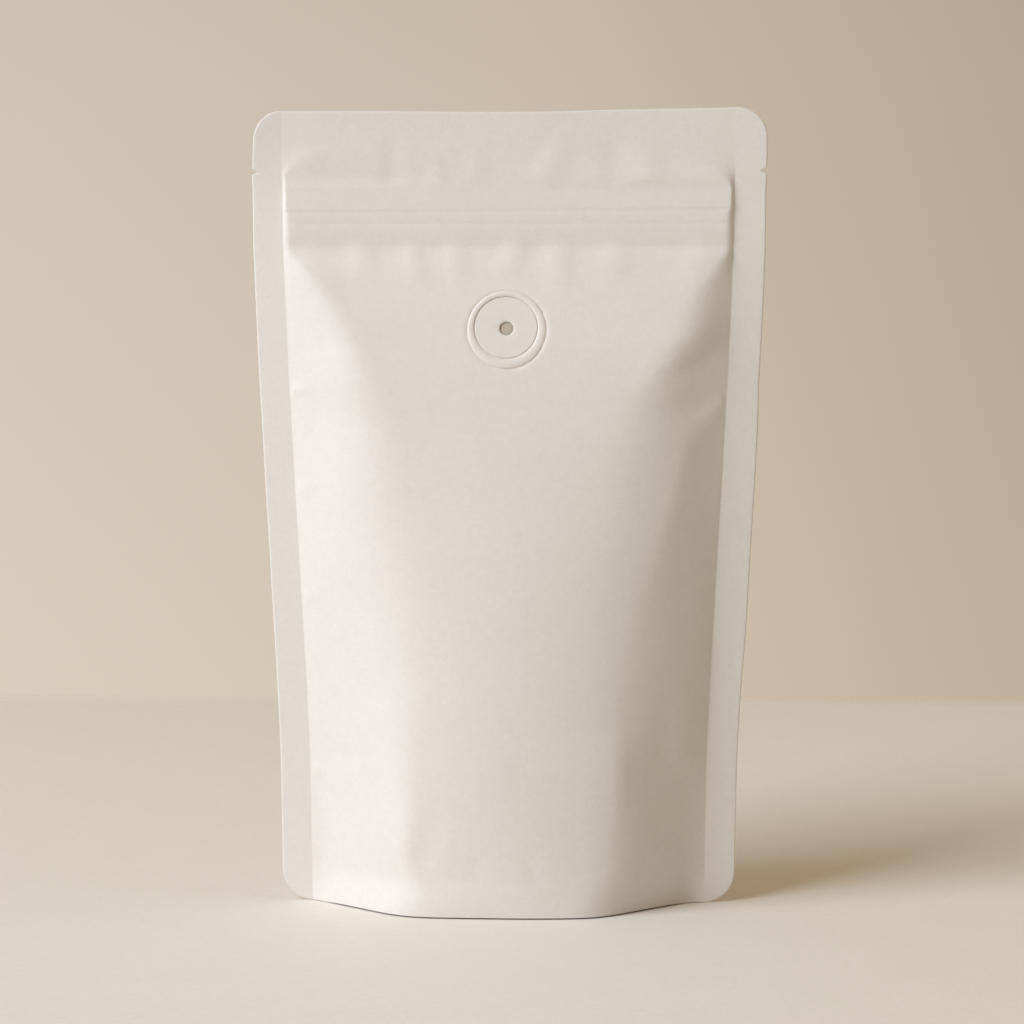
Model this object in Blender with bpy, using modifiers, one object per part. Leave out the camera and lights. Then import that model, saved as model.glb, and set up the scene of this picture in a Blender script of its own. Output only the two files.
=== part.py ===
"""A stand-up coffee pouch of plain white film, filled and shut, with a round degassing valve.

Front and back panels are joined by flat side seals and a flat top seal, with a folded gusset below.
The film doesn't stretch, so each level of a panel keeps the length across that it had when flat:
the sections below bend a strip of that length, and the pouch is narrower where it is deeper.
The origin is the middle of the base. X runs across the pouch, and its front faces -Y.
"""

import math

import bmesh
import bpy
import numpy as np

# Outline of the empty pouch, laid flat
FLAT_WIDTH = 0.160
HEIGHT = 0.248
SIDE_SEAL = 0.0095
CORNER_RADIUS = 0.0095
INNER_HALF = FLAT_WIDTH / 2 - SIDE_SEAL
SEAL_THICKNESS = 0.0006
SEAL_SWEEP = 0.0009

# Tear notches in both side seals
NOTCH_HEIGHT = 0.229
NOTCH_DEPTH = 0.002
NOTCH_HALF_OPENING = 0.001

# Bend of a panel, from the base up to the mouth: the height, the angle of the two side facets in
# degrees, the width of a facet, the width of the crease beside it, the angle in degrees that the
# middle of the panel reaches at that crease, and the share of the facet's angle that is left where
# the film comes out of the side seal
BENDS = (
    (0.000, 44.0, 0.0385, 0.024, 4.0, 0.50),
    (0.016, 42.5, 0.0375, 0.012, 8.0, 0.60),
    (0.045, 41.0, 0.0370, 0.012, 9.5, 0.75),
    (0.075, 36.5, 0.0365, 0.020, 8.5, 0.90),
    (0.110, 31.5, 0.0350, 0.027, 7.0, 1.00),
    (0.130, 29.5, 0.0310, 0.026, 6.0, 1.00),
    (0.150, 27.0, 0.0275, 0.022, 4.5, 1.00),
    (0.178, 23.5, 0.0185, 0.014, 3.0, 1.00),
    (0.193, 26.0, 0.0090, 0.007, 2.0, 1.00),
    (0.2035, 38.0, 0.0024, 0.0018, 0.5, 1.00),
    (0.206, 40.0, 0.0018, 0.0012, 0.0, 1.00),
    (0.223, 36.0, 0.0018, 0.0012, 0.0, 1.00),
    (0.238, 0.0, 0.0018, 0.0012, 0.0, 1.00),
    (0.248, 0.0, 0.0018, 0.0012, 0.0, 1.00),
)
SHOULDER_FOOT = 0.150
SHOULDER_TOP = 0.2035
CLOSURE_FOOT = 0.206
TOP_SEAL_FOOT = 0.238
SEAL_LIP = 0.009

# What the closure inside presses into the film: height, half width and how far it stands out
CLOSURE_RIBS = (
    (0.2170, 0.0062, 0.0006),
    (0.2167, 0.0008, -0.0003),
    (0.2115, 0.0020, 0.0005),
)
RIB_END = 0.0015

# Bottom gusset: height of its seal on the panels, then of its fold and of its lowest line between
GUSSET_SIDE_HEIGHT = 0.043
GUSSET_MIDDLE_HEIGHT = 0.007
FOLD_FLAT_HALF = 0.012
FOLD_CURVE = 1.25
SAG_FLAT_HALF = 0.020
SAG_CURVE = 1.3

# Valve: heights above the panel along its own axis, and radii
VALVE_HEIGHT = 0.1799
VALVE_RADIUS = 0.0125
VALVE_SUNK = 0.0010
SEAT_GAP = 0.0003
SEAT_CLEARANCE_ABOVE = 0.004
RING_CREST = 0.0009
DISC_RADIUS = 0.0099
DISC_FACE = 0.0002
RING_POINTS = 9
VENT_RADIUS = 0.0021
VENT_CHAMFER = 0.0002
CORE_RADIUS = 0.0017
CORE_THICKNESS = 0.0006
VALVE_SIDES = 48

# Fineness of the mesh
COLUMN_STEP = 0.005
CORNER_STEPS = 4
BODY_STEPS = 12
SHOULDER_STEPS = 5
SKIRT_STEPS = 3
ROOF_STEPS = 6
STRIP_STEPS = 564
MERGE = 0.000001

# Colour, roughness
WHITE_FILM = ((0.66, 0.62, 0.56, 1.0), 0.5)
VALVE_PLASTIC = ((0.66, 0.62, 0.56, 1.0), 0.45)
CORE_RUBBER = ((0.30, 0.27, 0.23, 1.0), 0.6)


def clear_scene():
    for obj in list(bpy.data.objects):
        bpy.data.objects.remove(obj)


def new_collection(name):
    made = bpy.data.collections.new(name)
    bpy.context.scene.collection.children.link(made)
    return made


def new_material(name, colour, roughness):
    made = bpy.data.materials.new(name)
    made.use_nodes = True
    shader = made.node_tree.nodes["Principled BSDF"]
    shader.inputs["Base Color"].default_value = colour
    shader.inputs["Roughness"].default_value = roughness
    shader.inputs["Metallic"].default_value = 0.0
    return made


def new_object(name, source, group, finish=None):
    """Object made from a bmesh, which is freed."""
    bmesh.ops.recalc_face_normals(source, faces=source.faces)
    data = bpy.data.meshes.new(name)
    source.to_mesh(data)
    source.free()
    data.shade_smooth()
    data.set_sharp_from_angle(angle=math.radians(30))
    if finish:
        data.materials.append(finish)
    made = bpy.data.objects.new(name, data)
    group.objects.link(made)
    return made


def ease(t):
    """Smooth step from 0 to 1."""
    t = np.clip(t, 0.0, 1.0)
    return t * t * (3 - 2 * t)


def smooth_through(heights, values, z):
    """Value at z on a smooth curve through the points, which never passes beyond neighbouring ones."""
    steps = np.diff(heights)
    slopes = np.diff(values) / steps
    tangents = np.zeros(len(values))
    for k in range(1, len(values) - 1):
        before, after = slopes[k - 1], slopes[k]
        if before * after > 0:
            tangents[k] = 2 * before * after / (before + after)
    k = int(np.clip(np.searchsorted(heights, z, side="right") - 1, 0, len(steps) - 1))
    t = (z - heights[k]) / steps[k]
    bend = (tangents[k] * (1 - t) - tangents[k + 1] * t) * steps[k] * t * (1 - t)
    chord = values[k] + (values[k + 1] - values[k]) * ease(t)
    return float(chord + bend)


def bend_at(z):
    """Facet angle, facet width, crease width, middle angle and share at the seal, at height z."""
    heights, *columns = np.array(BENDS).T
    angle, facet, crease, middle, at_seal = (smooth_through(heights, column, z) for column in columns)
    return math.radians(angle), facet, crease, math.radians(middle), at_seal


def film_angle(s, z):
    """How far the film has turned from facing straight forwards, at s along the strip."""
    angle, facet, crease, middle, at_seal = bend_at(z)
    from_seal = INNER_HALF - np.abs(s)
    on_facet = 1 - ease((from_seal - facet) / crease + 0.5)
    in_middle = middle * np.minimum(1.0, np.abs(s) / (INNER_HALF - facet))
    lip = at_seal + (1 - at_seal) * ease(from_seal / SEAL_LIP)
    return np.sign(s) * (in_middle * (1 - on_facet) + angle * on_facet * lip)


def rib_relief(z):
    total = 0.0
    for height, half_width, amount in CLOSURE_RIBS:
        share = min(1.0, abs(z - height) / half_width)
        total += amount * (1 - share**2) ** 2
    return total


def panel_section(z, places):
    """Points of the front panel at height z, one for each place along the strip."""
    strip = np.linspace(-INNER_HALF, INNER_HALF, STRIP_STEPS + 1)
    turned = film_angle((strip[1:] + strip[:-1]) / 2, z)
    step = strip[1] - strip[0]
    across = np.concatenate([[0.0], np.cumsum(np.cos(turned)) * step])
    across -= across[-1] / 2
    outwards = np.concatenate([[0.0], np.cumsum(np.sin(turned)) * step])
    points = []
    for s in places:
        beyond = max(0.0, abs(s) - INNER_HALF)
        x = np.interp(s, strip, across) + math.copysign(beyond, s)
        y = np.interp(s, strip, outwards) - SEAL_THICKNESS / 2
        y -= rib_relief(z) * ease((INNER_HALF - abs(s)) / RIB_END)
        points.append((float(x), float(y), z))
    return points


def outer_edge(z):
    """Where the film ends, measured along the strip from the middle of the panel."""
    from_end = min(z, HEIGHT - z)
    rise = max(0.0, CORNER_RADIUS - from_end)
    rounding = CORNER_RADIUS - math.sqrt(CORNER_RADIUS**2 - rise**2)
    notch = NOTCH_DEPTH * max(0.0, 1 - abs(z - NOTCH_HEIGHT) / NOTCH_HALF_OPENING)
    return FLAT_WIDTH / 2 - rounding - notch


def inner_places():
    """Places along the strip between the side seals, where the mesh has its columns."""
    mouth_facet = BENDS[-1][2]
    regular = np.arange(0.0, INNER_HALF - mouth_facet - COLUMN_STEP / 4, COLUMN_STEP)
    half = [float(s) for s in regular] + [INNER_HALF - mouth_facet, INNER_HALF]
    return [-s for s in half[:0:-1]] + half


def row_heights():
    """Heights of the mesh's rows, closest at the corners, the notches and the closure."""
    turns = [math.pi / 2 * k / CORNER_STEPS for k in range(CORNER_STEPS + 1)]
    corner = [CORNER_RADIUS * (1 - math.cos(turn)) for turn in turns]
    heights = corner + [HEIGHT - z for z in corner]
    heights += [NOTCH_HEIGHT + NOTCH_HALF_OPENING * k for k in (-1, 0, 1)]
    for height, half_width, _ in CLOSURE_RIBS:
        heights += [height - half_width, height, height + half_width]
    heights += list(np.linspace(CORNER_RADIUS, SHOULDER_FOOT, BODY_STEPS + 1))
    heights += list(np.linspace(SHOULDER_FOOT, SHOULDER_TOP, SHOULDER_STEPS + 1))
    heights += [CLOSURE_FOOT, TOP_SEAL_FOOT]
    return sorted({round(float(z), 5) for z in heights})


def gusset_seal_height(s):
    """Height of the seal that joins the gusset to a panel."""
    share = abs(s) / INNER_HALF
    return GUSSET_MIDDLE_HEIGHT + (GUSSET_SIDE_HEIGHT - GUSSET_MIDDLE_HEIGHT) * share**2


def climb(s, flat_half, curve):
    """Height of a line of the gusset that lies on the ground in the middle and climbs to both sides."""
    share = max(0.0, (abs(s) - flat_half) / (INNER_HALF - flat_half))
    return GUSSET_SIDE_HEIGHT * share**curve


def gusset_height(s, v):
    """Height of the gusset's film, with v from 0 at its fold to 1 at its seal on the panel."""
    fold = climb(s, FOLD_FLAT_HALF, FOLD_CURVE)
    sag = climb(s, SAG_FLAT_HALF, SAG_CURVE)
    if v < 0.5:
        return sag + (fold - sag) * (1 - 2 * v) ** 2
    return sag + (gusset_seal_height(s) - sag) * (2 * v - 1) ** 2


def underside_path(s):
    """Points up the inner face of the front skirt, then over the gusset to its fold."""
    points = []
    for k in range(SKIRT_STEPS + 1):
        z = gusset_seal_height(s) * k / SKIRT_STEPS
        ((x, y, _),) = panel_section(z, [s])
        wall = SEAL_THICKNESS / 2 / math.cos(film_angle(s, z))
        points.append((x, 0.0 if abs(s) == INNER_HALF else y + wall, z))
    seal_y = points[-1][1]
    for k in range(1, ROOF_STEPS + 1):
        v = 1 - k / ROOF_STEPS
        z = gusset_height(s, v)
        ((x, _, _),) = panel_section(z, [s])
        points.append((x, seal_y * v, z))
    return points


def turned_to_back(points):
    return [(x, -y, z) for x, y, z in points]


def between(near, far):
    return tuple((a + b) / 2 for a, b in zip(near, far))


def add_strips(mesh, lines):
    """Faces between neighbouring lines, which have equally many points."""
    made = [[mesh.verts.new(point) for point in line] for line in lines]
    for line, following in zip(made, made[1:]):
        for k in range(len(line) - 1):
            mesh.faces.new((line[k], line[k + 1], following[k + 1], following[k]))


def swept(points, places):
    """The side seals lean back a little towards their outer edges, front and back film together."""
    moved = []
    for (x, y, z), s in zip(points, places):
        beyond = max(0.0, abs(s) - INNER_HALF) / SIDE_SEAL
        moved.append((x, y + SEAL_SWEEP * beyond, z))
    return moved


def build_pouch(group, finish):
    """The whole pouch as one closed shell: two panels, the edges that join them, and the underside."""
    inner = inner_places()
    front = []
    back = []
    for z in row_heights():
        side = [INNER_HALF + (outer_edge(z) - INNER_HALF) * share for share in (0.5, 1.0)]
        places = [-s for s in side[::-1]] + inner + side
        section = panel_section(z, places)
        front.append(swept(section, places))
        back.append(swept(turned_to_back(section), places))

    mesh = bmesh.new()
    add_strips(mesh, front)
    add_strips(mesh, back)
    for end in (0, -1):
        near = [line[end] for line in front]
        far = [line[end] for line in back]
        add_strips(mesh, [(a, between(a, b), b) for a, b in zip(near, far)])
    across = slice(len(side), len(side) + len(inner))
    add_strips(mesh, [(a, between(a, b), b) for a, b in zip(front[-1][across], back[-1][across])])
    underside = []
    for s, lower_front, lower_back in zip(inner, front[0][across], back[0][across]):
        path = underside_path(s)
        underside.append([lower_front, *path, *turned_to_back(path[-2::-1]), lower_back])
    add_strips(mesh, underside)
    bmesh.ops.remove_doubles(mesh, verts=mesh.verts, dist=MERGE)
    bmesh.ops.triangulate(mesh, faces=mesh.faces)
    return new_object("pouch", mesh, group, finish)


def valve_axis(group):
    """Empty on the panel at the valve's centre, with Z straight out of the film and Y up along it."""
    reach = VALVE_RADIUS
    ((_, upper, _),) = panel_section(VALVE_HEIGHT + reach, [0.0])
    ((_, lower, _),) = panel_section(VALVE_HEIGHT - reach, [0.0])
    axis = bpy.data.objects.new("valve_axis", None)
    axis.location = (0.0, (upper + lower) / 2, VALVE_HEIGHT)
    axis.rotation_euler = (math.pi / 2 - math.atan2(upper - lower, 2 * reach), 0.0, 0.0)
    group.objects.link(axis)
    return axis


def valve_profile():
    """Half section of the valve, from its outer lower edge over the ring and disc into the vent."""
    ring_middle = (VALVE_RADIUS + DISC_RADIUS) / 2
    ring_half = (VALVE_RADIUS - DISC_RADIUS) / 2
    profile = [(VALVE_RADIUS, -VALVE_SUNK)]
    for k in range(RING_POINTS):
        turn = math.pi * k / (RING_POINTS - 1)
        rise = (RING_CREST - DISC_FACE) * math.sin(turn)
        profile.append((ring_middle + ring_half * math.cos(turn), DISC_FACE + rise))
    profile.append((VENT_RADIUS + VENT_CHAMFER, DISC_FACE))
    profile.append((VENT_RADIUS, DISC_FACE - VENT_CHAMFER))
    profile.append((VENT_RADIUS, -VALVE_SUNK))
    return profile


def build_valve(axis, group, finish):
    """Welded valve: a rounded ring round a flat disc with a vent hole in its middle."""
    profile = bmesh.new()
    points = [profile.verts.new((r, 0.0, z)) for r, z in reversed(valve_profile())]
    for k, point in enumerate(points):
        profile.edges.new((points[k - 1], point))
    valve = new_object("valve", profile, group, finish)
    valve.parent = axis
    screw = valve.modifiers.new("turned", "SCREW")
    screw.axis = "Z"
    screw.steps = VALVE_SIDES
    screw.render_steps = VALVE_SIDES
    screw.use_smooth_shade = True
    screw.use_merge_vertices = False
    return valve


def build_cylinder(name, axis, radius, bottom, top, group, finish=None):
    mesh = bmesh.new()
    bmesh.ops.create_cone(
        mesh, cap_ends=True, segments=VALVE_SIDES, radius1=radius, radius2=radius, depth=top - bottom
    )
    made = new_object(name, mesh, group, finish)
    made.parent = axis
    made.location = (0.0, 0.0, (top + bottom) / 2)
    return made


def cut_valve_seat(pouch, axis, cutters):
    """Shallow round pocket in the front panel that the valve sits in."""
    floor = -VALVE_SUNK - SEAT_GAP
    cutter = build_cylinder(
        "seat_cutter", axis, VALVE_RADIUS + SEAT_GAP, floor, SEAT_CLEARANCE_ABOVE, cutters
    )
    cutter.hide_render = True
    cutter.display_type = "WIRE"
    cut = pouch.modifiers.new("valve_seat", "BOOLEAN")
    cut.operation = "DIFFERENCE"
    cut.solver = "EXACT"
    cut.object = cutter


def main():
    clear_scene()
    parts = new_collection("coffee_pouch")
    cutters = new_collection("cutters")
    pouch = build_pouch(parts, new_material("white_film", *WHITE_FILM))
    axis = valve_axis(parts)
    cut_valve_seat(pouch, axis, cutters)
    build_valve(axis, parts, new_material("valve_plastic", *VALVE_PLASTIC))
    build_cylinder(
        "valve_core",
        axis,
        CORE_RADIUS,
        -VALVE_SUNK,
        CORE_THICKNESS - VALVE_SUNK,
        parts,
        new_material("core_rubber", *CORE_RUBBER),
    )


main()
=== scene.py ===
"""A filled and shut stand-up coffee pouch of plain white film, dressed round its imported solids.

The film doesn't stretch, so each level of a panel is a strip of constant length that is bent to
the depth the pouch has there. Lengths of the pouch and its valve are in millimetres.
"""

import math

import bmesh
import bpy
import numpy as np
from mathutils import Matrix, Vector


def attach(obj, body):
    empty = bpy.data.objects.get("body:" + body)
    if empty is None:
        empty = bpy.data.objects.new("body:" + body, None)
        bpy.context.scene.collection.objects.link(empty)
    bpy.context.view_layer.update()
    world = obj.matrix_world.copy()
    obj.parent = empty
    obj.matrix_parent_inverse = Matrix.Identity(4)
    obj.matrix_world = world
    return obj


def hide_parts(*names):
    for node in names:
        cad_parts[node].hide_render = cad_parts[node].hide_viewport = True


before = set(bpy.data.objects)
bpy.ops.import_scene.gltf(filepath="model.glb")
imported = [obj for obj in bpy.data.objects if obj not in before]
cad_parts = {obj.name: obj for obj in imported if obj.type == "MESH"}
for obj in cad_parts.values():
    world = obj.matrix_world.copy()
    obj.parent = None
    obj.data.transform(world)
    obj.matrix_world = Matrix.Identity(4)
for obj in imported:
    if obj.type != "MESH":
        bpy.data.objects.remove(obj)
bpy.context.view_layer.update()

# The pouch
# Two panels of matt white laminate, welded to each other down both sides and across the mouth,
# with a folded gusset of the same film welded in below. The beans inside push the panels out.

MM = 0.001
film_half_width = 80.0
pouch_height = 248.0
side_seal = 9.5
corner_radius = 9.5
panel_half = film_half_width - side_seal
seal_half_thickness = 0.27
seal_edge_radius = 0.5
skirt_thickness = 0.5
skirt_rim_radius = 0.25
skirt_rim_end = 0.1
skirt_lift = 0.25
skirt_lift_height = 5.0
skirt_lift_half = 66.0
skirt_lift_fade = 10.0
notch_height = 229.0
notch_depth = 2.0
notch_half_opening = 1.0

# Height, half the distance between the side seals, depth of the panel's middle in front of them
panel_outline = (
    (0.0, 61.80, 26.79),
    (16.0, 62.01, 26.69),
    (30.0, 62.18, 26.69),
    (45.0, 62.40, 26.51),
    (60.0, 62.96, 25.54),
    (75.0, 63.67, 24.13),
    (92.0, 64.62, 22.51),
    (110.0, 65.56, 20.59),
    (130.0, 66.68, 17.44),
    (150.0, 67.67, 14.24),
    (165.0, 68.49, 11.31),
    (178.0, 69.05, 8.77),
    (186.0, 69.35, 6.95),
    (193.0, 69.65, 5.04),
    (199.0, 69.82, 3.29),
    (203.5, 70.04, 1.79),
    (206.0, 70.11, 1.17),
    (213.0, 70.14, 1.15),
    (223.0, 70.19, 1.00),
    (228.0, 70.35, 0.72),
    (233.0, 70.45, 0.42),
    (238.0, 70.50, 0.18),
    (243.0, 70.50, 0.05),
    (248.0, 70.50, 0.0),
)

# Bend of half a panel: height, angle of the side facet, angle that the middle reaches at the crease,
# share of the facet's angle left at the side seal, distance of the crease from the seal, its width
front_left = (
    (0.0, 46.0, 3.5, 0.90, 41.0, 24.0),
    (12.0, 36.5, 11.5, 0.56, 39.0, 9.5),
    (22.0, 36.5, 12.0, 0.62, 38.5, 7.5),
    (34.0, 35.0, 13.0, 0.70, 38.5, 10.5),
    (47.0, 33.0, 13.5, 0.80, 37.5, 13.5),
    (60.0, 31.5, 13.0, 0.90, 36.5, 19.0),
    (75.0, 29.5, 12.5, 1.00, 34.0, 26.0),
    (92.0, 29.5, 11.0, 1.05, 32.0, 32.5),
    (110.0, 31.5, 8.5, 1.09, 28.5, 35.0),
    (130.0, 32.5, 5.0, 1.08, 26.5, 32.5),
    (150.0, 28.0, 2.5, 1.05, 26.5, 26.5),
    (165.0, 21.5, 0.0, 1.03, 22.5, 20.0),
    (178.0, 17.5, -1.0, 1.03, 19.0, 14.0),
    (190.0, 20.5, -1.0, 1.03, 12.5, 10.0),
    (199.0, 29.5, -0.3, 1.03, 6.0, 6.0),
    (203.5, 38.0, 0.5, 1.00, 2.4, 1.8),
    (216.0, 38.0, 0.0, 1.00, 1.8, 1.4),
    (218.0, 36.0, 0.0, 1.00, 1.1, 1.0),
    (227.0, 34.0, 0.0, 1.00, 1.0, 0.9),
    (239.0, 3.0, 0.0, 1.00, 12.0, 10.0),
    (248.0, 0.0, 0.0, 1.00, 12.0, 10.0),
)
front_right = (
    (0.0, 47.0, 10.0, 0.20, 44.0, 21.0),
    (12.0, 43.0, 18.0, 0.68, 36.5, 23.5),
    (22.0, 40.0, 15.5, 0.76, 33.5, 22.5),
    (34.0, 37.0, 12.5, 0.86, 33.5, 24.0),
    (47.0, 34.0, 11.5, 1.08, 33.0, 25.0),
    (60.0, 31.5, 12.5, 1.25, 29.0, 33.0),
    (75.0, 32.0, 13.5, 1.25, 26.0, 40.5),
    (92.0, 32.5, 13.5, 1.12, 25.0, 44.0),
    (110.0, 33.5, 11.5, 1.00, 26.5, 43.0),
    (130.0, 32.0, 8.5, 0.94, 27.0, 37.5),
    (150.0, 31.0, 4.0, 0.95, 27.0, 27.5),
    (165.0, 27.5, 0.5, 0.97, 20.5, 19.5),
    (178.0, 23.5, 1.5, 1.00, 13.5, 17.0),
    (190.0, 21.5, 2.5, 1.00, 9.5, 13.5),
    (199.0, 27.0, 2.0, 1.00, 4.5, 6.5),
    (204.0, 38.0, 0.5, 1.00, 2.6, 2.0),
    (216.0, 38.0, 0.0, 1.00, 2.2, 1.8),
    (217.5, 38.0, 0.0, 1.00, 1.2, 1.0),
    (223.5, 36.0, 0.0, 1.00, 1.0, 0.9),
    (236.0, 3.0, 0.0, 1.00, 12.0, 10.0),
    (248.0, 0.0, 0.0, 1.00, 12.0, 10.0),
)

# How far in from a side seal the film still bends out of it, how finely a strip is worked out, and
# the depth below which a level counts as flat
seal_lip = 9.0
strip_samples = 1129
flat_below = 0.01

# Outer edges of the side seals by height: how far the left and the right one lean back, and how far
# the left and the right one stand out sideways
seal_set = (
    (0.0, 0.9, 1.0, 0.0, 0.0),
    (60.0, 0.9, 1.0, 0.0, 0.3),
    (88.0, 0.9, 1.0, 0.0, 0.85),
    (148.0, 0.9, 1.0, 0.0, 0.85),
    (165.0, 0.9, 0.9, 0.0, 0.35),
    (190.0, 0.9, 0.7, 0.0, 0.5),
    (206.0, 0.8, 0.1, 0.0, 0.4),
    (225.0, 0.4, 0.0, 0.0, 0.4),
    (240.0, -0.3, -0.2, -0.75, 0.4),
    (248.0, -0.5, -0.3, -0.75, 0.4),
)

# The mouth: where it starts to lean forward and how far, and its top edge by place across
mouth_foot = 223.0
mouth_lean = 1.1
mouth_line_foot = 226.0
mouth_line_fade = 18.0
mouth_line = (
    (-80.0, -0.2),
    (-50.0, -0.3),
    (-30.0, -0.45),
    (-5.0, -0.75),
    (15.0, -0.6),
    (30.0, -0.2),
    (50.0, 0.1),
    (65.0, 0.35),
    (80.0, 0.8),
)

# A flatter pocket in a side facet: height of its upper crease at the side seal and how fast that
# falls towards the middle, points on its lower crease, and the share of the angle that it takes off
right_pocket = (176.4, 0.61, ((0, 156.7), (13, 146), (20, 118.8), (24, 104), (34, 82), (71, 60)), 0.30)
back_pocket = (171.0, 0.55, ((0, 148.0), (11, 137), (18, 114.0), (25, 96), (36, 78), (71, 58)), 0.30)
pocket_top_fade = 5.0
pocket_foot_fade = 4.0
pocket_foot_spread = 0.9

# What the press-to-close strip inside pushes into the film: height, how far the film stands out
closure_relief = (
    (190.0, 0.0),
    (198.0, 0.07),
    (203.0, 0.17),
    (207.0, 0.25),
    (208.4, 0.32),
    (209.6, 0.375),
    (210.6, 0.39),
    (211.6, 0.365),
    (212.5, 0.30),
    (212.9, 0.27),
    (213.25, 0.305),
    (213.8, 0.32),
    (214.6, 0.325),
    (215.6, 0.305),
    (216.3, 0.25),
    (216.75, 0.23),
    (217.25, 0.285),
    (217.7, 0.295),
    (218.6, 0.27),
    (220.5, 0.20),
    (222.5, 0.09),
    (224.0, 0.03),
    (225.2, 0.0),
)

# Folds of the front panel: both ends as (across, height), half width, rise, share that fades in and out
front_folds = (
    ((-45.5, 209), (-45, 191), 6.0, 0.30, 0.25, 0.8),
    ((-30.5, 209), (-26.5, 189), 5.0, 0.28, 0.25, 0.8),
    ((-17, 209), (-13.5, 187), 5.5, 0.28, 0.25, 0.8),
    ((5.5, 209), (-4, 194), 6.0, 0.36, 0.25, 0.7),
    ((15.6, 209), (16.3, 183), 6.0, 0.32, 0.2, 0.8),
    ((34, 209), (32.5, 189), 6.5, 0.30, 0.25, 0.8),
    ((66, 207), (52, 189), 9.0, 0.35, 0.3, 0.5),
    ((-67, 205), (-50, 184), 9.0, 0.35, 0.3, 0.5),
    ((-36, 245), (-35.5, 224.5), 5.0, -0.18, 0.7, 0.12),
    ((-21.5, 236), (-21.5, 224.5), 4.0, 0.13, 0.5, 0.15),
    ((-9.9, 239), (-9.9, 224.5), 5.0, 0.16, 0.6, 0.15),
    ((20.5, 243), (9.3, 224.5), 6.5, 0.24, 0.5, 0.12),
    ((33.4, 246), (33.4, 224.5), 6.0, -0.20, 0.6, 0.12),
    ((43.4, 242), (43.8, 224.5), 6.0, 0.16, 0.6, 0.12),
    ((-63, 238), (-63, 224.5), 7.0, 0.10, 0.6, 0.15),
    ((-70.5, 160), (-60, 164), 2.6, 0.35, 0.1, 0.7),
    ((-70, 129), (-57, 135), 3.5, 0.24, 0.1, 0.7),
    ((-70, 95), (-60, 99), 3.0, 0.22, 0.1, 0.7),
    ((-70, 43.5), (-52, 32.5), 3.2, 0.32, 0.1, 0.6),
    ((-64, 50), (-50, 44), 4.5, -0.18, 0.4, 0.5),
    ((-18, 40), (-28.5, 12), 6.5, -0.32, 0.8, 0.25),
    ((-9.5, 23), (-9.5, 9.5), 4.5, -0.14, 0.5, 0.3),
    ((7.5, 24), (7.5, 9), 4.5, -0.16, 0.5, 0.3),
    ((36, 60), (36.5, 20), 6.0, 0.30, 0.4, 0.5),
    ((59, 76), (60, 40), 7.5, 0.35, 0.5, 0.3),
    ((70, 159), (60, 150), 3.5, 0.25, 0.1, 0.6),
)
back_folds = (
    ((-50, 209), (-47, 190), 6.0, 0.24, 0.25, 0.8),
    ((-33, 209), (-34, 187), 6.0, 0.32, 0.25, 0.8),
    ((-12, 209), (-8, 193), 5.0, 0.26, 0.25, 0.8),
    ((6, 209), (7, 185), 6.0, 0.32, 0.25, 0.8),
    ((24, 209), (20, 192), 5.5, 0.28, 0.25, 0.8),
    ((43, 209), (43, 188), 6.0, 0.26, 0.25, 0.8),
    ((-42, 237), (-41, 223), 4.5, 0.18, 0.4, 0.3),
    ((-24, 238), (-25, 223), 4.0, -0.16, 0.4, 0.3),
    ((4, 237), (0, 223), 5.0, 0.20, 0.3, 0.3),
    ((29, 237), (30, 223), 4.5, 0.16, 0.4, 0.3),
    ((70, 150), (61, 155), 2.4, 0.32, 0.1, 0.6),
    ((69, 44), (54, 35), 3.0, 0.30, 0.1, 0.5),
    ((-69.5, 118), (-58, 124), 3.2, 0.24, 0.1, 0.6),
    ((26, 30), (27, 11), 4.0, -0.26, 0.5, 0.5),
    ((-30, 56), (-29, 18), 4.5, -0.16, 0.4, 0.5),
)

# Long low waves all over a panel: share, and for each of two crossing waves its length across, its
# length up, and how far it moves with the drift that tells the two panels apart. They fade out
# below the closure, and all relief fades out beside the side seals.
film_swells = (
    (1.0, (8.1, 23.0, 1.0), (-31.0, 14.0, 1.7)),
    (0.6, (4.7, -37.0, 2.3), (19.0, 9.0, 0.0)),
)
swell_rise = 0.035
swell_top = 200.0
swell_fade = 20.0
relief_fade = 1.5

# The gusset: its weld on the panels, its fold, and its lowest line
gusset_seal_side = 43.0
gusset_seal_middle = 10.5
gusset_seal_curve = 2.2
gusset_weld_half_width = 1.3
gusset_weld_depth = 0.07
gusset_weld_tilt = 0.9
fold_flat_half = 12.0
fold_curve = 1.25
sag_flat_half = 20.0
sag_curve = 1.3
fold_sharpness = 1.7
skirt_steps = 8
roof_steps = 14

# The seat of the valve, where the film gives way under it
valve_height = 179.9
valve_radius = 12.5
seat_depth = 1.6
seat_radius = 10.5
seat_fade = 1.7

# Columns of the mesh from the middle to a side seal: how many evenly, up to how far from the seal,
# and the distances from the seal of the closer ones beyond
even_columns = 54
even_columns_end = 4.0
close_columns = (2.9, 2.3, 1.85, 1.45, 1.1, 0.8, 0.55, 0.35, 0.18, 0.0)

# Rows of the mesh beside the round edges of the mouth and the skirt, on the skirt's inner face too,
# in a rounded corner, and on each side of a tear notch
rim_rows = (0.02, 0.07, 0.15, 0.25)
rim_climbs = (0.0, 0.05, 0.13, 0.25)
corner_rows = 11
notch_rows = 3

# Rows of the mesh between the corners: from and to which height, and how far apart
row_spacing = (
    (corner_radius, 24.0, 0.65),
    (24.0, 188.0, 1.35),
    (188.0, 206.0, 0.9),
    (206.0, 226.0, 0.27),
    (226.0, 240.0, 0.9),
)
closest_rows = 0.018


def ease(t):
    """Smooth step from 0 to 1."""
    t = np.clip(t, 0.0, 1.0)
    return t * t * (3 - 2 * t)


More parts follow.
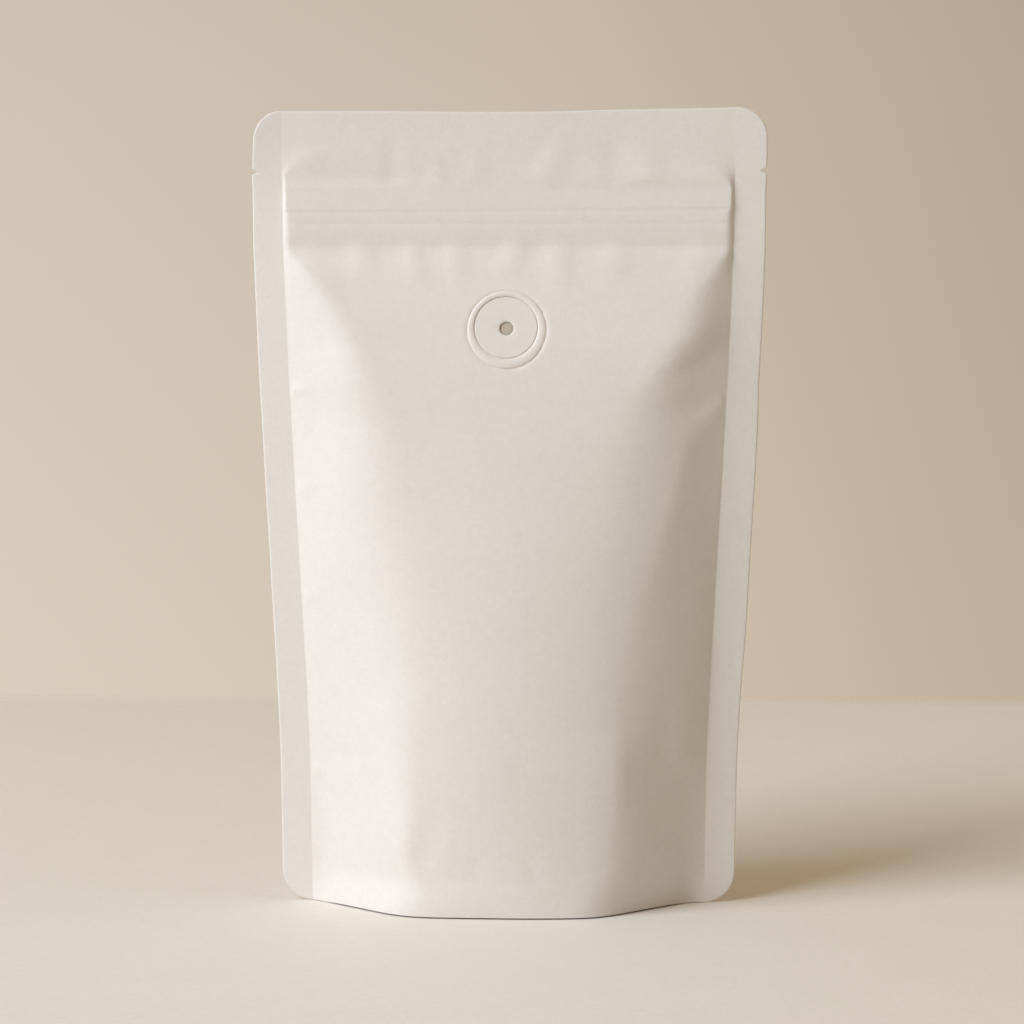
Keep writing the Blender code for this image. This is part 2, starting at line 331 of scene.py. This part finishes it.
def through(points, values, at):
    """Value on a smooth curve through the points, which never passes beyond neighbouring ones."""
    steps = np.diff(points)
    slopes = np.diff(values) / steps
    tangents = np.zeros(len(values))
    for k in range(1, len(values) - 1):
        before, after = slopes[k - 1], slopes[k]
        if before * after > 0:
            tangents[k] = 2 * before * after / (before + after)
    k = np.clip(np.searchsorted(points, at, side="right") - 1, 0, len(steps) - 1)
    t = np.clip((at - np.asarray(points)[k]) / steps[k], 0.0, 1.0)
    bend = (tangents[k] * (1 - t) - tangents[k + 1] * t) * steps[k] * t * (1 - t)
    values = np.asarray(values)
    return values[k] + (values[k + 1] - values[k]) * ease(t) + bend


def at_height(table, z):
    """The table's columns, read at height z."""
    heights, *columns = np.array(table).T
    return [through(heights, column, z) for column in columns]


def pocket_depth(pocket, from_seal, z):
    """1 inside the flatter pocket of a side facet, 0 outside it, with a soft crease between."""
    top, fall, lower, _ = pocket
    distances, heights = np.array(lower, float).T
    below_top = ease((top - fall * from_seal - z) / pocket_top_fade + 0.5)
    foot_fade = pocket_foot_fade + pocket_foot_spread * from_seal
    above_foot = ease((z - np.interp(from_seal, distances, heights)) / foot_fade + 0.5)
    return below_top * above_foot


def half_turn(bends, pocket, s, z):
    """How far the film has turned from facing straight ahead, s from the panel's middle line."""
    angle, middle, at_seal, crease, crease_width = at_height(bends, z)
    from_seal = panel_half - s
    on_side = 1 - ease((from_seal - crease) / crease_width + 0.5)
    in_middle = middle * np.minimum(1.0, s / (panel_half - crease))
    lip = at_seal + (1 - at_seal) * ease(from_seal / seal_lip)
    side = angle * on_side * lip
    if pocket:
        side = side * (1 - pocket[3] * pocket_depth(pocket, from_seal, z))
    return np.radians(in_middle * (1 - on_side) + side)


def bend_panel(halves, pockets, heights, places):
    """Across, outwards and turn of a panel's film at each height and place along the strip."""
    strip = np.linspace(-panel_half, panel_half, strip_samples)
    middles = (strip[1:] + strip[:-1]) / 2
    step = strip[1] - strip[0]
    beyond = np.maximum(np.abs(places) - panel_half, 0.0) * np.sign(places)
    rows = []
    for z in heights:
        half_chord, depth = at_height(panel_outline, z)
        left = -half_turn(halves[0], pockets[0], -middles, z)
        turned = np.where(middles < 0, left, half_turn(halves[1], pockets[1], np.abs(middles), z))
        across = np.concatenate([[0.0], np.cumsum(np.cos(turned)) * step])
        across = (across - across[-1] / 2) * half_chord * 2 / across[-1]
        outwards = np.concatenate([[0.0], np.cumsum(-np.sin(turned)) * step])
        outwards -= outwards[-1] * (strip - strip[0]) / (2 * panel_half)
        reach = np.interp(0.0, strip, outwards)
        outwards *= depth / reach if reach > flat_below else 0.0
        on_panel = np.abs(places) <= panel_half
        rows.append(
            (
                np.interp(places, strip, across) + beyond,
                np.interp(places, strip, outwards) * on_panel,
                np.interp(places, middles, turned) * on_panel,
            )
        )
    return np.array(rows).transpose(1, 0, 2)


def fold(s, z, start, end, half_width, rise, fade_in, fade_out):
    """Soft ridge along a line on the film, or a valley where rise is below 0."""
    (s0, z0), (s1, z1) = start, end
    length = math.hypot(s1 - s0, z1 - z0)
    along = ((s - s0) * (s1 - s0) + (z - z0) * (z1 - z0)) / length
    aside = ((s - s0) * (z1 - z0) - (z - z0) * (s1 - s0)) / length
    share = np.clip(along / length, 0.0, 1.0)
    away = np.hypot(aside, along - share * length) / half_width
    strength = ease(share / fade_in) * ease((1 - share) / fade_out)
    return rise * strength * (1 - np.minimum(away, 1.0) ** 2) ** 2


def gusset_seal_height(s):
    """Height of the weld that joins the gusset to a panel."""
    share = np.abs(s) / panel_half
    return gusset_seal_middle + (gusset_seal_side - gusset_seal_middle) * share**gusset_seal_curve


def film_relief(s, z, folds, drift):
    """Low forms of a panel, measured straight out of its film."""
    heights, values = np.array(closure_relief).T
    total = through(heights, values, np.clip(z, heights[0], heights[-1]))
    for line in folds:
        total = total + fold(s, z, *line)
    climbing = gusset_seal_height(np.abs(s) + 0.5) - gusset_seal_height(np.abs(s) - 0.5)
    across_weld = np.hypot(1.0, climbing * gusset_weld_tilt)
    off_weld = np.abs(z - gusset_seal_height(s)) / across_weld / gusset_weld_half_width
    total = total - gusset_weld_depth * (1 - np.minimum(off_weld, 1.0) ** 2) ** 2
    swell = 0.0
    for share, *waves in film_swells:
        first, second = (np.sin(s / wide + z / tall + shift * drift) for wide, tall, shift in waves)
        swell = swell + share * first * second
    total = total + swell_rise * swell * ease((swell_top - z) / swell_fade)
    return total * ease((panel_half - np.abs(s)) / relief_fade)


def outer_edge(z):
    """Half width of the laid-out film: the sides, with rounded corners and tear notches."""
    from_end = min(z, pouch_height - z)
    rise = max(0.0, corner_radius - from_end)
    rounding = corner_radius - math.sqrt(max(0.0, corner_radius**2 - rise**2))
    notch = notch_depth * max(0.0, 1 - abs(z - notch_height) / notch_half_opening)
    return film_half_width - rounding - notch


def to_outline(s, z):
    """Distance from a place on the film to the outline of the side seals and the mouth."""
    s = np.abs(s)
    edge = np.array([outer_edge(height) for height in z.ravel()]).reshape(z.shape)
    past = s - (film_half_width - corner_radius)
    above = np.maximum(z - (pouch_height - corner_radius), corner_radius - z)
    in_corner = corner_radius - np.hypot(np.maximum(past, 0.0), np.maximum(above, 0.0))
    straight = np.minimum(edge - s, pouch_height - z)
    return np.where((past >= 0) & (above >= 0), in_corner, straight)


def rounded(distance, radius):
    """How much of its fullness a round edge has, at a distance in from the edge."""
    return np.sqrt(np.clip(1 - (1 - np.clip(distance / radius, 0, 1)) ** 2, 0, 1))


def film_rows():
    """Heights of the rows of the mesh, closest at the closure, the corners and the notches."""
    turns = np.linspace(0, math.pi / 2, corner_rows)
    corner = corner_radius * (1 - np.cos(turns))
    rim = np.array(rim_rows)
    heights = [0.0, *rim, *corner, *(pouch_height - corner), *(pouch_height - rim)]
    notch_steps = range(-notch_rows, notch_rows + 1)
    heights += [notch_height + notch_half_opening * k / notch_rows for k in notch_steps]
    for start, stop, spacing in row_spacing:
        heights += list(np.arange(start, stop, spacing))
    kept = []
    for z in sorted(round(float(z), 3) for z in heights):
        if not kept or z - kept[-1] > closest_rows:
            kept.append(z)
    return np.array(kept)


def film_places():
    """Places along the strip of the mesh's columns between the side seals."""
    near_seal = panel_half - np.array(close_columns)
    half = [*np.linspace(0.0, panel_half - even_columns_end, even_columns), *near_seal]
    return np.array([-s for s in half[:0:-1]] + half)


# Columns of the mesh on a side seal, as shares of its width
seal_columns = (0.02, 0.06, 0.16, 0.35, 0.6, 0.82, 0.93, 0.965, 0.985, 0.996, 1.0)
rows = film_rows()
inner = film_places()
steps_out = np.array([(np.array([outer_edge(z) for z in rows]) - panel_half) * k for k in seal_columns])
strip_places = np.concatenate(
    [
        -(panel_half + steps_out[::-1].T),
        np.tile(inner, (len(rows), 1)),
        panel_half + steps_out.T,
    ],
    axis=1,
)
inner_columns = slice(len(seal_columns), len(seal_columns) + len(inner))


def panel_points(halves, pockets, folds, drift):
    """Grids of a panel's film, as if it were the front: across, outwards, turn, relief, height."""
    across = np.zeros_like(strip_places)
    outwards = np.zeros_like(strip_places)
    turned = np.zeros_like(strip_places)
    for k, z in enumerate(rows):
        across[k], outwards[k], turned[k] = bend_panel(halves, pockets, [z], strip_places[k])[:, 0]
    level = np.repeat(rows[:, None], strip_places.shape[1], axis=1)
    relief = film_relief(strip_places, level, folds, drift)
    relief[np.abs(strip_places) > panel_half] = 0.0
    return across, outwards, turned, relief, level


def valve_seat(s, z, tilt):
    """The film gives way under the valve."""
    away = np.hypot(s, (z - valve_height) / math.cos(tilt))
    return -seat_depth * (1 - ease((away - seat_radius) / seat_fade))


def outer_face(across, outwards, turned, relief, level):
    """Points of the outer face of the film, facing -Y."""
    half = seal_half_thickness * rounded(to_outline(strip_places, level), seal_edge_radius)
    rim = skirt_rim_radius * (1 - rounded(level, skirt_rim_radius))
    lifted = relief - rim * (np.abs(strip_places) < panel_half - skirt_rim_end)
    x = across + np.sin(turned) * lifted
    y = -outwards - half - np.cos(turned) * lifted
    return np.stack([x, y, level], axis=-1)


def skirt_rise(s, z):
    """The lower edge of the skirt hangs a little above the ground between the side seals."""
    in_skirt = 1 - ease(z / skirt_lift_height)
    return skirt_lift * in_skirt * ease((skirt_lift_half - np.abs(s)) / skirt_lift_fade)


def set_up(points):
    """Front and back film together: the side seals lean back, the mouth forward, the skirt lifts."""
    beyond = np.maximum(np.abs(strip_places) - panel_half, 0.0) / side_seal
    seal_rows = np.array([at_height(seal_set, z) for z in rows]).T[:, :, None]
    lean_left, lean_right, out_left, out_right = seal_rows
    on_left = strip_places < 0
    level = rows[:, None]
    places, lifts = np.array(mouth_line).T
    points = points.copy()
    points[..., 0] += beyond * np.where(on_left, -out_left, out_right)
    points[..., 1] += beyond * np.where(on_left, lean_left, lean_right)
    up_mouth = np.clip((level - mouth_foot) / (pouch_height - mouth_foot), 0.0, 1.0)
    points[..., 1] -= mouth_lean * up_mouth
    up_line = ease((level - mouth_line_foot) / mouth_line_fade)
    points[..., 2] += through(places, lifts, strip_places) * up_line
    points[..., 2] += skirt_rise(strip_places, level)
    return points


def inner_wall(s, face, turned, z, column):
    """Point on the inner face of the welded skirt, behind the outer face at height z."""
    x, y = (np.interp(z, rows, face[:, column, k]) for k in (0, 1))
    turn = np.interp(z, rows, turned[:, column])
    depth = min(skirt_thickness, -y / math.cos(turn))
    depth -= min(depth, 2 * skirt_rim_radius) * (1 - float(rounded(z, skirt_rim_radius)))
    return np.array([x - math.sin(turn) * depth, y + math.cos(turn) * depth, z + skirt_rise(s, z)])


def climb(s, flat_half, curve):
    """Height of a line of the gusset that lies on the ground in the middle and climbs to both sides."""
    share = max(0.0, (abs(s) - flat_half) / (panel_half - flat_half))
    return gusset_seal_side * share**curve


def gusset_height(s, v):
    """Height of the gusset's film, with v from 0 at its fold to 1 at its seal on the panel."""
    low_line = climb(s, sag_flat_half, sag_curve)
    if v < 0.5:
        fold_height = climb(s, fold_flat_half, fold_curve)
        return low_line + (fold_height - low_line) * (1 - 2 * v) ** fold_sharpness
    return low_line + (gusset_seal_height(s) - low_line) * (2 * v - 1) ** 2


def underside_path(s, column, faces, turns, middle):
    """Points up the front skirt, over the gusset and its fold, and down the back skirt."""
    seal_height = float(gusset_seal_height(s))
    climbs = [*rim_climbs, *(seal_height * k / skirt_steps for k in range(1, skirt_steps + 1))]
    walls = []
    for face, turned in zip(faces, turns):
        wall = [inner_wall(s, face, turned, z, column) for z in climbs]
        if abs(s) == panel_half:
            wall = [np.array([np.interp(z, rows, middle[:, column]), 0.0, z]) for z in climbs]
        walls.append(wall)
    roofs = []
    for wall in walls:
        x_seal, y_seal, _ = wall[-1]
        roof = []
        for k in range(1, roof_steps + 1):
            v = 1 - k / roof_steps
            z = gusset_height(s, v)
            x_fold = np.interp(z, rows, middle[:, column])
            roof.append(np.array([x_seal * v + x_fold * (1 - v), y_seal * v, z]))
        roofs.append(roof)
    front = walls[0] + roofs[0]
    back = walls[1] + roofs[1]
    to_back = np.array([1.0, -1.0, 1.0])
    return front + [point * to_back for point in back[-2::-1]]


def add_strips(mesh, lines):
    """Faces between neighbouring lines, which have equally many points."""
    made = [[mesh.verts.new(Vector(point) * MM) for point in line] for line in lines]
    for line, following in zip(made, made[1:]):
        for k in range(len(line) - 1):
            mesh.faces.new((line[k], line[k + 1], following[k + 1], following[k]))


def finished_piece(name, mesh, material, node):
    """Object of a bmesh, which rides with the pouch and stands for a solid of the frame."""
    bmesh.ops.recalc_face_normals(mesh, faces=mesh.faces)
    data = bpy.data.meshes.new(name)
    mesh.to_mesh(data)
    mesh.free()
    data.shade_smooth()
    data.materials.append(material)
    piece = bpy.data.objects.new(name, data)
    bpy.context.scene.collection.objects.link(piece)
    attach(piece, "root")
    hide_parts(node)


class Socket:
    """A node's output. Sums and products of these add Math nodes."""

    def __init__(self, tree, output):
        self.tree = tree
        self.output = output

    @classmethod
    def node(cls, tree, kind, settings=None, inputs=None, output=0):
        """Output of a new node, with its settings made first and then its inputs set or linked."""
        made = tree.nodes.new(kind)
        for name, value in (settings or {}).items():
            if name == "stops":
                first, last = made.color_ramp.elements[0], made.color_ramp.elements[-1]
                (first.position, first.color), (last.position, last.color) = value[0], value[-1]
                for position, colour in value[1:-1]:
                    made.color_ramp.elements.new(position).color = colour
            else:
                setattr(made, name, value)
        for name, value in (inputs or {}).items():
            if isinstance(value, Socket):
                tree.links.new(value.output, made.inputs[name])
            else:
                made.inputs[name].default_value = value
        return cls(tree, made.outputs[output])

    def maths(self, operation, first, second):
        """Output of a new Math node on two values."""
        return Socket.node(
            self.tree, "ShaderNodeMath", {"operation": operation}, {0: first, 1: second}
        )

    def __add__(self, other):
        return self.maths("ADD", self, other)

    def __sub__(self, other):
        return self.maths("SUBTRACT", self, other)

    def __rsub__(self, other):
        return self.maths("SUBTRACT", other, self)

    def __mul__(self, other):
        return self.maths("MULTIPLY", self, other)

    __radd__ = __add__
    __rmul__ = __mul__


def matt_laminate(name, light, dark, roughness, grain_depth):
    """Matt film, plastic or board: faintly uneven, mottled, with a very fine grain."""
    cloud_scale, mottle_scale, fibre_scale = 55.0, 420.0, 1300.0
    cloud_tint, mottle_tint, fibre_tint = 0.7, 1.6, 2.4
    cloud_shine, fibre_shine = 0.12, 0.06
    specular_level = 0.4
    material = bpy.data.materials.new(name)
    material.use_nodes = True
    tree = material.node_tree
    shader = tree.nodes["Principled BSDF"]
    place = Socket.node(tree, "ShaderNodeTexCoord", output="Object")
    cloud = Socket.node(
        tree, "ShaderNodeTexNoise", inputs={"Vector": place, "Scale": cloud_scale, "Detail": 3.0}
    )
    mottle = Socket.node(
        tree, "ShaderNodeTexNoise", inputs={"Vector": place, "Scale": mottle_scale, "Detail": 1.0}
    )
    fibres = Socket.node(
        tree, "ShaderNodeTexNoise", inputs={"Vector": place, "Scale": fibre_scale, "Detail": 2.0}
    )
    paleness = (
        (cloud - 0.5) * cloud_tint + (mottle - 0.5) * mottle_tint + (fibres - 0.5) * fibre_tint + 0.5
    )
    tint = Socket.node(
        tree,
        "ShaderNodeMix",
        {"data_type": "RGBA"},
        {"Factor": paleness, "A": dark, "B": light},
        output="Result",
    )
    bump = Socket.node(
        tree, "ShaderNodeBump", inputs={"Strength": 1.0, "Distance": grain_depth, "Height": fibres}
    )
    shine = (cloud - 0.5) * cloud_shine + (fibres - 0.5) * fibre_shine + roughness
    tree.links.new(tint.output, shader.inputs["Base Color"])
    tree.links.new(shine.output, shader.inputs["Roughness"])
    tree.links.new(bump.output, shader.inputs["Normal"])
    shader.inputs["Specular IOR Level"].default_value = specular_level
    return material


front_parts = panel_points((front_left, front_right), (None, right_pocket), front_folds, 0.4)
back_parts = panel_points((front_right, front_left), (back_pocket, None), back_folds, 2.9)
centre = len(seal_columns) + len(inner) // 2
depth_above, depth_below = (
    np.interp(valve_height + k * valve_radius, rows, front_parts[1][:, centre]) for k in (1, -1)
)
valve_tilt = math.atan2(depth_below - depth_above, 2 * valve_radius)
front_parts[3][:] += valve_seat(strip_places, front_parts[4], valve_tilt)
front_face = outer_face(*front_parts)
back_face = outer_face(*back_parts)

film_light = (0.834, 0.804, 0.773, 1.0)
film_dark = (0.804, 0.774, 0.743, 1.0)
film_roughness = 0.5
film_grain = 0.00004
same_point = 0.000002

pouch_mesh = bmesh.new()
add_strips(pouch_mesh, set_up(front_face))
add_strips(pouch_mesh, set_up(back_face * np.array([1.0, -1.0, 1.0])))
fold_across = (front_parts[0] + back_parts[0]) / 2
paths = []
for offset, place in enumerate(inner):
    column = inner_columns.start + offset
    paths.append(
        underside_path(
            place, column, (front_face, back_face), (front_parts[2], back_parts[2]), fold_across
        )
    )
add_strips(pouch_mesh, paths)
bmesh.ops.remove_doubles(pouch_mesh, verts=pouch_mesh.verts, dist=same_point)
film_material = matt_laminate(
    "white_matt_laminate", film_light, film_dark, film_roughness, film_grain
)
finished_piece("pouch_film", pouch_mesh, film_material, "pouch")

# The degassing valve
# A round one-way valve of the same white plastic, welded to the front panel: a half-round ring
# round a flat disc, with a vent hole in the middle of the disc.

valve_sides = 128
ring_radius = 12.3
ring_crest = 0.5
disc_radius = 9.65
disc_offset = (-0.35, 0.7)
disc_face = 0.2
groove_width = 0.22
groove_depth = 0.3
vent_radius = 2.1
vent_offset = (-0.1, 0.4)
vent_chamfer = 0.35
vent_depth = 1.0
valve_sunk = 1.0
valve_middle = (0.0, 0.0)
flange_taper = 0.1
flange_top = -0.6
ring_outer_foot = -0.25
ring_inner_drop = 0.04
ring_steps = 16
edge_rounding = 0.08
disc_edge_drop = 0.05
chamfer_top_drop = 0.02
chamfer_drop = 0.22
chamfer_foot_drop = 0.32
valve_light = (0.834, 0.804, 0.773, 1.0)
valve_dark = (0.809, 0.779, 0.748, 1.0)
valve_roughness = 0.46
valve_grain = 0.000006

panel_y = -(depth_above + depth_below) / 2 - seal_half_thickness
valve_place = Matrix.Translation((0.0, panel_y * MM, valve_height * MM)) @ Matrix.Rotation(
    math.pi / 2 - valve_tilt, 4, "X"
)


def turned_rings(rings):
    """Mesh of circles, each with a radius, a height and the place of its centre."""
    lines = []
    for radius, height, (x, y) in rings:
        turns = [2 * math.pi * k / valve_sides for k in range(valve_sides + 1)]
        lines.append([(x + radius * math.cos(t), y + radius * math.sin(t), height) for t in turns])
    made = bmesh.new()
    add_strips(made, lines)
    bmesh.ops.remove_doubles(made, verts=made.verts, dist=same_point)
    made.transform(valve_place)
    return made


ring_half = (ring_radius - disc_radius - groove_width) / 2
rings = [
    (valve_radius - flange_taper, -valve_sunk, valve_middle),
    (valve_radius, flange_top, valve_middle),
    (ring_radius, ring_outer_foot, valve_middle),
]
for k in range(ring_steps + 1):
    share = k / ring_steps
    foot = (disc_face - ring_inner_drop) * share
    offset = (disc_offset[0] * share, disc_offset[1] * share)
    radius = ring_radius - ring_half * (1 - math.cos(math.pi * share))
    rings.append((radius, foot + (ring_crest - foot) * math.sin(math.pi * share), offset))
rings += [
    (disc_radius + groove_width * 0.8, disc_face - groove_depth, disc_offset),
    (disc_radius + groove_width * 0.2, disc_face - groove_depth, disc_offset),
    (disc_radius, disc_face - disc_edge_drop, disc_offset),
    (disc_radius - edge_rounding, disc_face, disc_offset),
    (disc_radius - 0.25, disc_face, disc_offset),
    (disc_radius * 0.7, disc_face, disc_offset),
    (disc_radius * 0.45, disc_face, vent_offset),
    (vent_radius + vent_chamfer + 0.1, disc_face, vent_offset),
    (vent_radius + vent_chamfer, disc_face - chamfer_top_drop, vent_offset),
    (vent_radius + edge_rounding, disc_face - chamfer_drop, vent_offset),
    (vent_radius, disc_face - chamfer_foot_drop, vent_offset),
    (vent_radius, -vent_depth, vent_offset),
    (valve_radius - flange_taper, -vent_depth, valve_middle),
]
valve_material = matt_laminate(
    "white_valve_plastic", valve_light, valve_dark, valve_roughness, valve_grain
)
finished_piece("valve_disc", turned_rings(rings), valve_material, "valve")

# The rubber of the valve
# A soft grey-brown seal that shows at the bottom of the vent hole.

core_radius = 2.04
core_face = -0.42
core_bottom = -0.95
rubber_light = (0.57, 0.51, 0.43, 1.0)
rubber_dark = (0.51, 0.45, 0.38, 1.0)
rubber_roughness = 0.62
rubber_grain = 0.00001

core_rings = [
    (0.0, core_bottom, vent_offset),
    (core_radius, core_bottom, vent_offset),
    (core_radius, core_face - edge_rounding, vent_offset),
    (core_radius - edge_rounding, core_face, vent_offset),
    (core_radius * 0.5, core_face, vent_offset),
    (0.0, core_face, vent_offset),
]
core_material = matt_laminate(
    "grey_brown_rubber", rubber_light, rubber_dark, rubber_roughness, rubber_grain
)
finished_piece("valve_rubber", turned_rings(core_rings), core_material, "valve_core")

# The table
# A pale smooth board that the pouch stands on. Its far edge ends a little way behind the pouch.

table_corners = ((-1.6, -1.6), (1.6, 0.50))
table_thickness = 0.03
table_gap = 0.0001
table_edge_radius = 0.004
table_edge_steps = 4
table_sharp_angle = 30.0
table_fade_from = 0.45
table_fade_to = 0.495
board_light = (0.88, 0.84, 0.795, 1.0)
board_dark = (0.84, 0.80, 0.755, 1.0)
board_roughness = 0.6
board_grain = 0.00002

table_mesh = bmesh.new()
bmesh.ops.create_cube(table_mesh, size=1.0)
(x0, y0), (x1, y1) = table_corners
bmesh.ops.scale(table_mesh, verts=table_mesh.verts, vec=(x1 - x0, y1 - y0, table_thickness))
bmesh.ops.translate(
    table_mesh,
    verts=table_mesh.verts,
    vec=((x0 + x1) / 2, (y0 + y1) / 2, -table_thickness / 2 - table_gap),
)
bmesh.ops.bevel(
    table_mesh,
    geom=table_mesh.edges[:],
    offset=table_edge_radius,
    segments=table_edge_steps,
    affect="EDGES",
)
table_data = bpy.data.meshes.new("table")
table_mesh.to_mesh(table_data)
table_mesh.free()
table_data.shade_smooth()
table_data.set_sharp_from_angle(angle=math.radians(table_sharp_angle))
table = bpy.data.objects.new("table", table_data)
bpy.context.scene.collection.objects.link(table)
board = matt_laminate("pale_board", board_light, board_dark, board_roughness, board_grain)
board_place = Socket.node(board.node_tree, "ShaderNodeTexCoord", output="Object")
depth = Socket.node(board.node_tree, "ShaderNodeSeparateXYZ", inputs={0: board_place}, output="Y")
fading = Socket.node(
    board.node_tree,
    "ShaderNodeMapRange",
    {"interpolation_type": "SMOOTHSTEP"},
    {"Value": depth, "From Min": table_fade_to, "From Max": table_fade_from},
)
board.node_tree.links.new(
    fading.output, board.node_tree.nodes["Principled BSDF"].inputs["Alpha"]
)
table_data.materials.append(board)

# The studio
# Light from the wall behind the pouch and the room in front of it, and a large soft lamp high on
# the left. The camera stands a little to the right, at two thirds of the pouch's height.

wall_left = (0.665, 0.584, 0.485, 1.0)
wall_middle = (0.624, 0.527, 0.429, 1.0)
wall_right = (0.503, 0.413, 0.305, 1.0)
wall_far_right = (0.26, 0.19, 0.12, 1.0)
room_left = (0.345, 0.26, 0.165, 1.0)
room_right = (0.10, 0.062, 0.02, 1.0)
ceiling_left = (0.52, 0.405, 0.27, 1.0)
ceiling_right = (0.37, 0.27, 0.155, 1.0)

# Where the wall's colours stand across the view, and how fast the light changes with direction:
# down the wall, across the room and the ceiling, from the room to the wall, and up to the ceiling
wall_stops = (
    (0.38, wall_left),
    (0.485, wall_middle),
    (0.582, wall_right),
    (1.0, wall_far_right),
)
wall_fall = 0.43
room_change = 0.7
wall_change = 1.6
wall_share = 0.4
ceiling_change = 0.8
ceiling_rise = 1.2
ceiling_start = 0.12

world = bpy.data.worlds.new("studio")
world.use_nodes = True
bpy.context.scene.world = world
air = world.node_tree
direction = Socket.node(air, "ShaderNodeTexCoord", output="Generated")
towards = [Socket.node(air, "ShaderNodeSeparateXYZ", inputs={0: direction}, output=k) for k in range(3)]


def mixed(factor, first, second):
    """Colour between two others, by a factor that is held between 0 and 1."""
    held = Socket.node(air, "ShaderNodeClamp", inputs={"Value": factor})
    return Socket.node(
        air,
        "ShaderNodeMix",
        {"data_type": "RGBA"},
        {"Factor": held, "A": first, "B": second},
        output="Result",
    )


across_wall = Socket.node(
    air,
    "ShaderNodeValToRGB",
    {"stops": wall_stops},
    {"Fac": towards[0] * 0.5 + 0.5},
    output="Color",
)
wall = Socket.node(
    air,
    "ShaderNodeVectorMath",
    {"operation": "SCALE"},
    {0: across_wall, "Scale": 1 - towards[2] * wall_fall},
)
room = mixed(towards[0] * room_change + 0.5, room_left, room_right)
around = mixed(towards[1] * wall_change + wall_share, room, wall)
ceiling = mixed(towards[0] * ceiling_change + 0.5, ceiling_left, ceiling_right)
sky = mixed(towards[2] * ceiling_rise - ceiling_start, around, ceiling)
air.links.new(sky.output, air.nodes["Background"].inputs["Color"])
air.nodes["Background"].inputs["Strength"].default_value = 1.0

lamp_azimuth = 55.0
lamp_elevation = 35.0
lamp_distance = 3.2
lamp_side = 1.9
lamp_power = 90.0
lamp_colour = (0.865, 0.958, 1.045)
lamp_aim = Vector((0.0, 0.0, 0.12))
camera_lens = 90.0
camera_sensor = 36.0
camera_place = (0.0264, -0.7996, 0.172)
camera_pitch = 86.5
camera_turn = 1.8

lamp_data = bpy.data.lights.new("soft_lamp", "AREA")
lamp_data.shape = "SQUARE"
lamp_data.size = lamp_side
lamp_data.energy = lamp_power
lamp_data.color = lamp_colour
lamp = bpy.data.objects.new("soft_lamp", lamp_data)
bpy.context.scene.collection.objects.link(lamp)
turn, rise = math.radians(lamp_azimuth), math.radians(lamp_elevation)
towards_lamp = Vector(
    (-math.sin(turn) * math.cos(rise), -math.cos(turn) * math.cos(rise), math.sin(rise))
)
lamp.location = lamp_aim + towards_lamp * lamp_distance
lamp.rotation_euler = towards_lamp.to_track_quat("Z", "Y").to_euler()

camera_data = bpy.data.cameras.new("camera")
camera_data.lens = camera_lens
camera_data.sensor_width = camera_sensor
camera = bpy.data.objects.new("camera", camera_data)
bpy.context.scene.collection.objects.link(camera)
camera.location = camera_place
camera.rotation_euler = (math.radians(camera_pitch), 0.0, math.radians(camera_turn))
bpy.context.scene.camera = camera
bpy.context.scene.view_settings.view_transform = "Standard"
